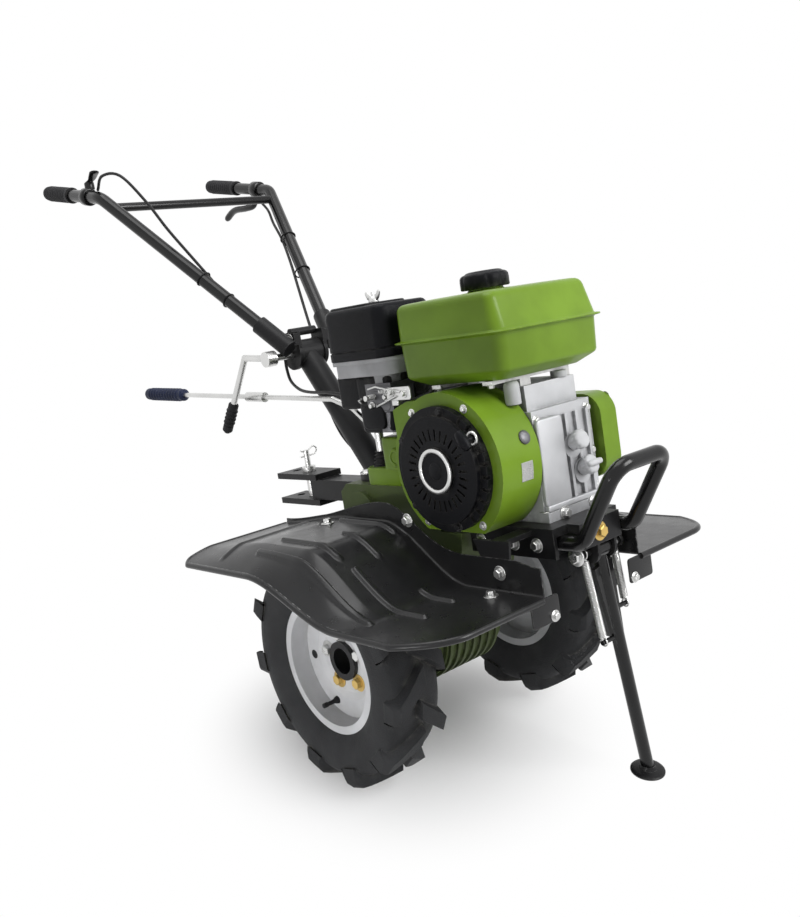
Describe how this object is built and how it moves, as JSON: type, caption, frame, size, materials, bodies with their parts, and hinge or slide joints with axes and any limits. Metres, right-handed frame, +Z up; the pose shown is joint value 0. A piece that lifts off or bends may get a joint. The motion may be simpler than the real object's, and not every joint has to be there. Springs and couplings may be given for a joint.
{
  "type": "walking tractor",
  "caption": "Two-wheel walking tractor with a petrol engine on a gearbox, sheet fenders, V handlebar with grips, rear hitch, bumper hoop and folding front stand.",
  "frame": {"origin": "middle of the bounding box on the floor", "axes": "+X forward, +Y the machine's left, +Z up, parked on its wheels and front stand"},
  "size_m": [1.4619, 0.704, 0.9936],
  "materials": {
    "green_cast": "gloss",
    "green_sheet": "gloss",
    "black_paint": "satin",
    "cast_silver": "satin",
    "black_plastic": "satin",
    "grey_plastic": "satin",
    "zinc": "satin",
    "carb_metal": "matte",
    "muffler_metal": "matte",
    "rim_paint": "satin",
    "tyre_rubber": "matte",
    "grip_rubber": "matte",
    "cable_sheath": "satin"
  },
  "bodies": {
    "chassis": {"gearbox_case": "green_cast", "axle_housings": "green_cast", "engine_base": "black_paint", "bumper_hoop": "black_paint", "crankcase": "cast_silver", "cylinder": "cast_silver", "fan_shroud": "green_sheet", "recoil_starter": "black_plastic", "oil_plugs": "black_plastic", "fuel_tank": "green_sheet", "fuel_cap": "black_plastic", "tank_brackets": "zinc", "air_filter_base": "grey_plastic", "air_filter_cover": "black_plastic", "filter_wing_nut": "zinc", "carburettor": "carb_metal", "muffler": "muffler_metal", "drive_guard": "green_sheet", "right_fender": "black_paint", "left_fender": "black_paint", "fender_brackets": "black_paint", "hitch_bracket": "black_paint", "hitch_pin": "zinc", "handlebar_column": "black_paint", "gear_lever": "zinc", "gear_lever_grip": "grip_rubber", "stand_bracket": "black_paint", "throttle_cable_low": "cable_sheath", "clutch_cable_low": "cable_sheath"},
    "handlebar": {"handlebar_arms": "black_paint", "handlebar_yoke": "black_paint", "grips": "grip_rubber", "throttle_lever": "black_plastic", "clutch_lever": "black_paint", "clamp_crank": "zinc", "clamp_crank_grip": "black_plastic", "throttle_cable_high": "cable_sheath", "clutch_cable_high": "cable_sheath"},
    "right_wheel": {"right_tyre": "tyre_rubber", "right_rim": "rim_paint", "right_axle": "zinc"},
    "left_wheel": {"left_tyre": "tyre_rubber", "left_rim": "rim_paint", "left_axle": "zinc"},
    "stand": {"stand_leg": "black_paint", "stand_foot": "black_paint", "stand_springs": "zinc"}
  },
  "joints": [
    {"name": "handlebar_tilt", "type": "hinge", "parent": "chassis", "child": "handlebar", "pos_m": [-0.05246, 0, 0.64453], "axis": [0, 1, 0], "range_deg": [-12, 12]},
    {"name": "right_wheel_turn", "type": "hinge", "parent": "chassis", "child": "right_wheel", "pos_m": [0.33275, 0, 0.205], "axis": [0, 1, 0], "continuous": true},
    {"name": "left_wheel_turn", "type": "hinge", "parent": "chassis", "child": "left_wheel", "pos_m": [0.33275, 0, 0.205], "axis": [0, 1, 0], "continuous": true},
    {"name": "stand_fold", "type": "hinge", "parent": "chassis", "child": "stand", "pos_m": [0.63728, 0.055, 0.42926], "axis": [0, -1, 0], "range_deg": [0, 80]}
  ]
}
